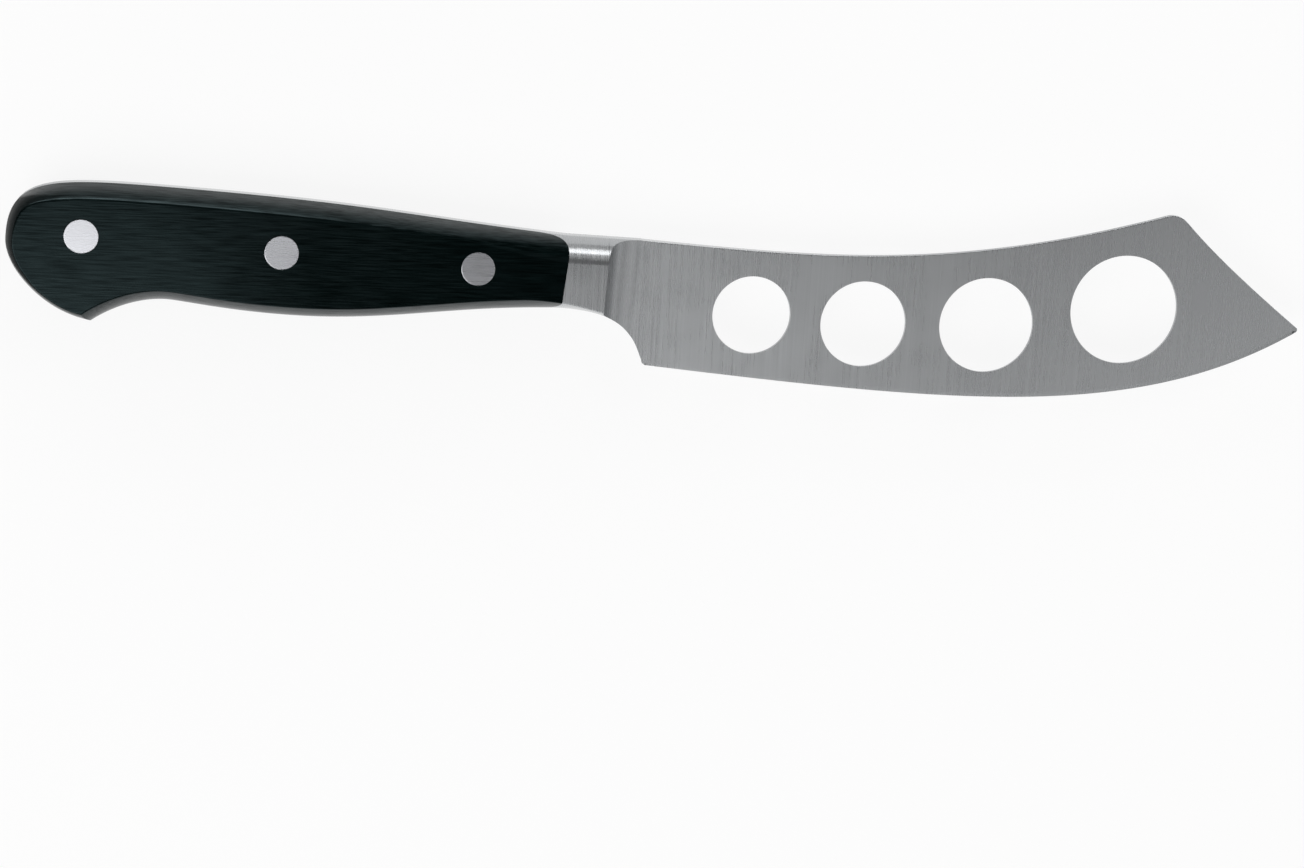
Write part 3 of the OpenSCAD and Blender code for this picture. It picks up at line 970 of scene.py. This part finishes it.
class Nodes:
    """Builds the nodes of one material."""

    def __init__(self, name: str) -> None:
        """Starts a material of that name, with its output and surface shader."""
        self.material = bpy.data.materials.new(name)
        self.material.use_nodes = True
        self.tree = self.material.node_tree
        self.shader = self.tree.nodes["Principled BSDF"]

    def fill(self, node: bpy.types.Node, inputs: dict[str | int, object]) -> bpy.types.Node:
        """Fills a node's inputs, each with a value or with another node's output.

        Args:
            node: the node.
            inputs: value or output for each input, by its name or number.

        Returns:
            The same node.
        """
        for key, value in inputs.items():
            if isinstance(value, Socket):
                self.tree.links.new(value, node.inputs[key])
            else:
                node.inputs[key].default_value = value
        return node

    def add(self, kind: str, inputs: dict[str | int, object], operation: str = "") -> bpy.types.Node:
        """Adds a node.

        Args:
            kind: kind of the node, such as Bump.
            inputs: value or output for each input that isn't left as it is.
            operation: sum that the node does, where it does one.

        Returns:
            The node.
        """
        node = self.tree.nodes.new("ShaderNode" + kind)
        if operation:
            node.operation = operation
        return self.fill(node, inputs)

    def noise(self, scale: Triple, detail: float, roughness: float, turn: float = 0.0) -> Socket:
        """Noise on object coordinates, stretched by its scale along each axis, per metre.

        Args:
            scale: cells per metre along x, y and z.
            detail: octaves of finer noise.
            roughness: share of each finer octave.
            turn: turn of the pattern about z, in degrees.

        Returns:
            Output socket, about 0.5 on average.
        """
        place = self.add("Mapping", {
            "Vector": self.add("TexCoord", {}).outputs["Object"],
            "Scale": [1.0 / cells for cells in scale],
            "Rotation": (0.0, 0.0, math.radians(turn))})
        place.vector_type = "TEXTURE"
        return self.add("TexNoise", {"Vector": place.outputs["Vector"], "Scale": 1.0, "Detail": detail,
                                     "Roughness": roughness}).outputs["Fac"]

    def about(self, noise: Socket, middle: float, spread: float) -> Socket:
        """Noise drawn out so that most of it lies within a spread on both sides of a middle value."""
        drawn = self.add("MapRange", {"Value": noise, "From Min": NOISE_LOW, "From Max": NOISE_HIGH,
                                      "To Min": middle - spread, "To Max": middle + spread})
        return drawn.outputs["Result"]

    def joined(self, operation: str, first: Socket, second: Socket | float) -> Socket:
        """Joins two values by one sum, such as ADD or MULTIPLY."""
        return self.add("Math", {0: first, 1: second}, operation).outputs["Value"]

    def tinted(self, colour: Triple, value: Socket) -> Socket:
        """A colour times a value."""
        return self.add("VectorMath", {0: colour, "Scale": value}, "SCALE").outputs["Vector"]

    def relief(self, height: Socket, depth: float) -> Socket:
        """Normal of a fine relief, with the depth in metres of a full step of its pattern."""
        return self.add("Bump", {"Height": height, "Distance": depth}).outputs["Normal"]

    def tangent(self) -> Socket:
        """The plan's u direction, which the highlights follow."""
        along = self.add("Tangent", {})
        along.direction_type = "UV_MAP"
        along.uv_map = "plan"
        return along.outputs["Tangent"]


@dataclass(frozen=True)
class BrushedSteel:
    """Steel with a fine brushed grain, faint streaks and small changes in its gloss."""

    name: str
    colour: Triple
    roughness: float
    grain: Grain
    contrast: float
    anisotropy: float
    relief: float
    lines: float = 5200.0
    run: float = 45.0
    turn: float = 3.0
    cloud_cells: Triple = (55.0, 70.0, 55.0)
    cloud_contrast: float = 0.015
    gloss_spread: float = 0.02

    def stretch(self, across: float, along: float) -> Triple:
        """Scale of a pattern with so many cells per metre across the lines and along them."""
        if self.grain is Grain.ACROSS:
            return across, along, along * 2
        return along, across, across

    def make(self) -> Material:
        """Makes the material."""
        n = Nodes(self.name)
        fine = n.noise(self.stretch(self.lines, self.run), detail=1.0, roughness=0.5, turn=self.turn)
        wide = self.stretch(self.lines / 4, self.run / 3)
        broad = n.noise(wide, detail=1.0, roughness=0.4, turn=self.turn)
        cloud = n.noise(self.cloud_cells, detail=3.0, roughness=0.55)
        streaks = n.about(broad, 1.0, self.contrast / 3)
        shade = n.joined("MULTIPLY", n.about(fine, 1.0, self.contrast), streaks)
        shade = n.joined("MULTIPLY", shade, n.about(cloud, 1.0, self.cloud_contrast))
        n.fill(n.shader, {
            "Base Color": n.tinted(self.colour, shade),
            "Roughness": n.joined("ADD", n.about(fine, self.roughness, self.gloss_spread),
                                  n.about(cloud, 0.0, self.gloss_spread)),
            "Metallic": 1.0,
            "Anisotropic": self.anisotropy,
            "Anisotropic Rotation": 0.0 if self.grain is Grain.ACROSS else QUARTER_TURN,
            "Tangent": n.tangent(),
            "Normal": n.relief(fine, self.relief)})
        return n.material


@dataclass(frozen=True)
class SatinGrip:
    """Dense black plastic with a fine lengthwise grain from its belt finish.

    Each pair of spreads is that of the fine grain, then that of the broad streaks or of the clouds.
    """

    name: str
    colour: Triple
    roughness: float
    specular: float
    relief: float
    anisotropy: float = 0.3
    turn: float = 3.0
    fine_cells: Triple = (150.0, 3800.0, 3800.0)
    broad_cells: Triple = (40.0, 1300.0, 1300.0)
    cloud_cells: Triple = (45.0, 60.0, 60.0)
    tint: Colour = (0.66, 0.95, 1.0, 1.0)
    shade_spreads: Pair = (0.4, 0.2)
    sheen_spreads: Pair = (0.5, 0.05)
    gloss_spreads: Pair = (0.03, 0.04)
    streak_relief: float = 0.2

    def make(self) -> Material:
        """Makes the material."""
        n = Nodes(self.name)
        fine = n.noise(self.fine_cells, detail=1.0, roughness=0.5, turn=self.turn)
        broad = n.noise(self.broad_cells, detail=2.0, roughness=0.5, turn=self.turn)
        cloud = n.noise(self.cloud_cells, detail=3.0, roughness=0.5)
        (shade, shade_broad), (gloss, gloss_cloud) = self.shade_spreads, self.gloss_spreads
        sheen, sheen_broad = self.sheen_spreads
        tone = n.joined("MULTIPLY", n.about(fine, 1.0, shade), n.about(broad, 1.0, shade_broad))
        streaks = n.about(broad, self.specular, sheen_broad * self.specular)
        ribs = n.about(broad, self.streak_relief, self.streak_relief)
        n.fill(n.shader, {
            "Base Color": n.tinted(self.colour, tone),
            "Specular IOR Level": n.joined("MULTIPLY", n.about(fine, 1.0, sheen), streaks),
            "Specular Tint": self.tint,
            "Roughness": n.joined("ADD", n.about(fine, self.roughness, gloss),
                                  n.about(cloud, 0.0, gloss_cloud)),
            "Anisotropic": self.anisotropy,
            "Anisotropic Rotation": QUARTER_TURN,
            "Tangent": n.tangent(),
            "Normal": n.relief(n.joined("ADD", fine, ribs), self.relief)})
        return n.material


BLADE_STEEL = BrushedSteel("blade_steel", (0.40, 0.41, 0.419), roughness=0.28, grain=Grain.ACROSS,
                           contrast=0.032, anisotropy=0.9, relief=4e-7)
RIVET_STEEL = BrushedSteel("rivet_steel", (0.67, 0.678, 0.712), roughness=0.28, grain=Grain.ALONG,
                           contrast=0.03, anisotropy=0.3, relief=2e-7)
GRIP_BLACK = SatinGrip("grip_black", (0.0004, 0.0020, 0.0019), roughness=0.19, specular=0.203,
                       relief=1.5e-6)


@dataclass(frozen=True)
class Knife:
    """The whole knife, which keeps an edge crisp above a crease angle in degrees."""

    blade: Blade = Blade()
    rivets: Rivets = Rivets(Grip())
    steel_crease: float = 11.0
    scale_crease: float = 24.0

    def build(self) -> None:
        """Builds every piece: the forging, the two scales and both halves of each rivet."""
        origin = self.rivets.origin()
        steel, black, bright = BLADE_STEEL.make(), GRIP_BLACK.make(), RIVET_STEEL.make()
        forged = Piece("blade_bolster_tang", "blade_steel", ("forged_blade",), steel, self.steel_crease)
        forged.finish(Forging(self.rivets.grip, self.blade, origin).build())
        for node, way in (("right_scale", 1.0), ("left_scale", -1.0)):
            scale = Piece(node + "_finished", "grip_black", (node,), black, self.scale_crease)
            scale.finish(Scale(self.rivets, origin, way).build())
        for name, x in self.rivets.centres().items():
            for half, make in (("pin", self.rivets.pin), ("sleeve", self.rivets.sleeve)):
                node = f"{name}_rivet_{half}"
                rivet = Piece(node + "_finished", "rivet_steel", (node,), bright, self.steel_crease)
                rivet.finish(make(x).mesh(node, origin))


@dataclass(frozen=True)
class Lamp:
    """One soft box."""

    name: str
    place: Triple
    size: Pair
    strength: float
    aim: Triple = (0.0, 0.0, 0.0)

    def make(self) -> None:
        """Hangs the lamp and turns it to its aim. Its power is its strength times pi times its area."""
        data = bpy.data.lights.new(self.name, "AREA")
        data.shape = "RECTANGLE"
        data.size, data.size_y = self.size
        data.energy = self.strength * math.pi * self.size[0] * self.size[1]
        lamp = link(self.name, data)
        away = Vector(self.place) - Vector(self.aim)
        lamp.rotation_mode = "QUATERNION"
        lamp.rotation_quaternion = away.to_track_quat("Z", "Y")
        lamp.location = self.place
        lamp.visible_camera = False


@dataclass(frozen=True)
class Camera:
    """Camera at the photograph's viewing angle."""

    aim: Triple = (-0.001127, -0.034209, 0.0075)
    distance: float = 0.55804
    tilt: float = 15.041
    swing: float = 121.535
    roll: float = 6.023
    focal_px: float = 2660.0
    frame_px: float = 1304.0
    sensor: float = 36.0
    clip: Pair = (0.01, 50.0)

    def make(self) -> None:
        """Places the camera: it leans from straight above by its tilt towards its swing, and then rolls."""
        tilt, swing, roll = (math.radians(a) for a in (self.tilt, self.swing, self.roll))
        back = Vector((math.sin(tilt) * math.cos(swing), math.sin(tilt) * math.sin(swing), math.cos(tilt)))
        up = Vector((0.0, 1.0, 0.0))
        up = (up - up.dot(back) * back).normalized()
        right = math.cos(roll) * up.cross(back) + math.sin(roll) * up
        turned = Matrix((right, back.cross(right), back)).transposed().to_4x4()
        data = bpy.data.cameras.new("camera")
        data.sensor_width = self.sensor
        data.lens = self.focal_px / self.frame_px * self.sensor
        data.clip_start, data.clip_end = self.clip
        camera = link("camera", data)
        camera.matrix_world = Matrix.Translation(Vector(self.aim) + self.distance * back) @ turned
        bpy.context.scene.camera = camera


@dataclass(frozen=True)
class Sheet:
    """Flat sheet of the studio, between two corners in plan."""

    name: str
    low: Pair
    high: Pair

    def lay(self, height: float, material: Material) -> bpy.types.Object:
        """Lays the sheet at a height."""
        (left, near), (right, far) = self.low, self.high
        corners = [(left, near, height), (right, near, height), (right, far, height), (left, far, height)]
        mesh = bpy.data.meshes.new(self.name)
        mesh.from_pydata(corners, [], [(0, 1, 2, 3)])
        mesh.materials.append(material)
        sheet = link(self.name, mesh)
        sheet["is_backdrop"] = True
        return sheet


@dataclass(frozen=True)
class Card(Sheet):
    """Grey card over the floor, which shows only in reflections."""

    grey: float
    roughness: float = 0.9

    def make(self, height: float) -> None:
        """Lays the card with its colour and hides it from all but reflected rays."""
        n = Nodes(self.name)
        n.fill(n.shader, {"Base Color": (self.grey,) * 3 + (1.0,), "Roughness": self.roughness})
        card = self.lay(height, n.material)
        card.visible_camera = False
        card.visible_diffuse = False
        card.visible_shadow = False


@dataclass(frozen=True)
class Studio:
    """Plain white floor, pale surroundings and soft boxes."""

    floor: Sheet = Sheet("floor", (-6.0, -6.0), (6.0, 6.0))
    floor_colour: float = 0.95
    floor_gap: float = 0.0001
    floor_share: float = 0.875
    sky: Colour = (0.05, 0.05, 0.0505, 1.0)
    cards: tuple[Card, ...] = (
        Card("grey_card_0", (-0.02, 0.034), (0.7, 0.9), 0.58),
        Card("grey_card_1", (-0.6, -0.4), (-0.137, 0.2), 0.28))
    lamps: tuple[Lamp, ...] = (
        Lamp("key", (-1.63, -0.93, 1.3), (3.0, 1.42), 2.55, (-1.63, -0.93, 0.0)),
        Lamp("fill", (0.725, -0.87, 1.3), (0.55, 1.54), 0.86, (0.725, -0.87, 0.0)),
        Lamp("far_fill", (1.83, -0.93, 1.3), (1.66, 1.42), 0.6, (1.83, -0.93, 0.0)),
        Lamp("spine_left", (-0.52, 1.3, 0.28), (1.1, 0.57), 5.0),
        Lamp("spine_right", (0.85, 1.3, 0.28), (1.0, 0.57), 4.0),
        Lamp("spine_high", (1.0, 1.1, 0.78), (1.1, 0.8), 3.0),
        Lamp("belly_side", (0.0, -1.7, 0.3), (3.6, 0.56), 1.7),
        Lamp("belly_high", (-1.3, -1.6, 1.2), (2.4, 0.9), 0.4),
        Lamp("roof", (0.0, 0.55, 1.3), (3.6, 1.3), 0.2, (0.0, 0.55, 0.0)),
        Lamp("tip_side", (1.5, 0.0, 0.22), (1.8, 0.44), 0.9))

    def make(self) -> None:
        """Lays the floor and the cards, colours the surroundings and hangs the lamps."""
        self.floor.lay(-self.floor_gap, self.floor_material())
        for card in self.cards:
            card.make(self.floor_gap)
        world = bpy.data.worlds.new("surroundings")
        world.use_nodes = True
        world.node_tree.nodes["Background"].inputs["Color"].default_value = self.sky
        bpy.context.scene.world = world
        for lamp in self.lamps:
            lamp.make()

    def floor_material(self) -> Material:
        """Floor that shows white but for a soft shadow where it is seen, and plain white in reflections."""
        n = Nodes("floor_white")
        n.tree.nodes.remove(n.shader)
        path = n.add("LightPath", {}).outputs
        matt = n.add("BsdfDiffuse", {"Color": (self.floor_colour,) * 3 + (1.0,)})
        white = n.add("Emission", {})
        mirrored = n.joined("MAXIMUM", path["Is Glossy Ray"], path["Is Transmission Ray"])
        share = n.joined("MAXIMUM", n.joined("MULTIPLY", path["Is Camera Ray"], self.floor_share), mirrored)
        blend = n.add("MixShader", {"Fac": share, 1: matt.outputs["BSDF"], 2: white.outputs["Emission"]})
        n.fill(n.tree.nodes["Material Output"], {"Surface": blend.outputs["Shader"]})
        return n.material


def main() -> None:
    """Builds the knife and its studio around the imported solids."""
    logging.basicConfig(level=logging.INFO, format="%(name)s: %(message)s")
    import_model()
    bpy.context.scene.view_settings.view_transform = "Standard"
    Knife().build()
    Camera().make()
    Studio().make()


if __name__ == "__main__":
    main()
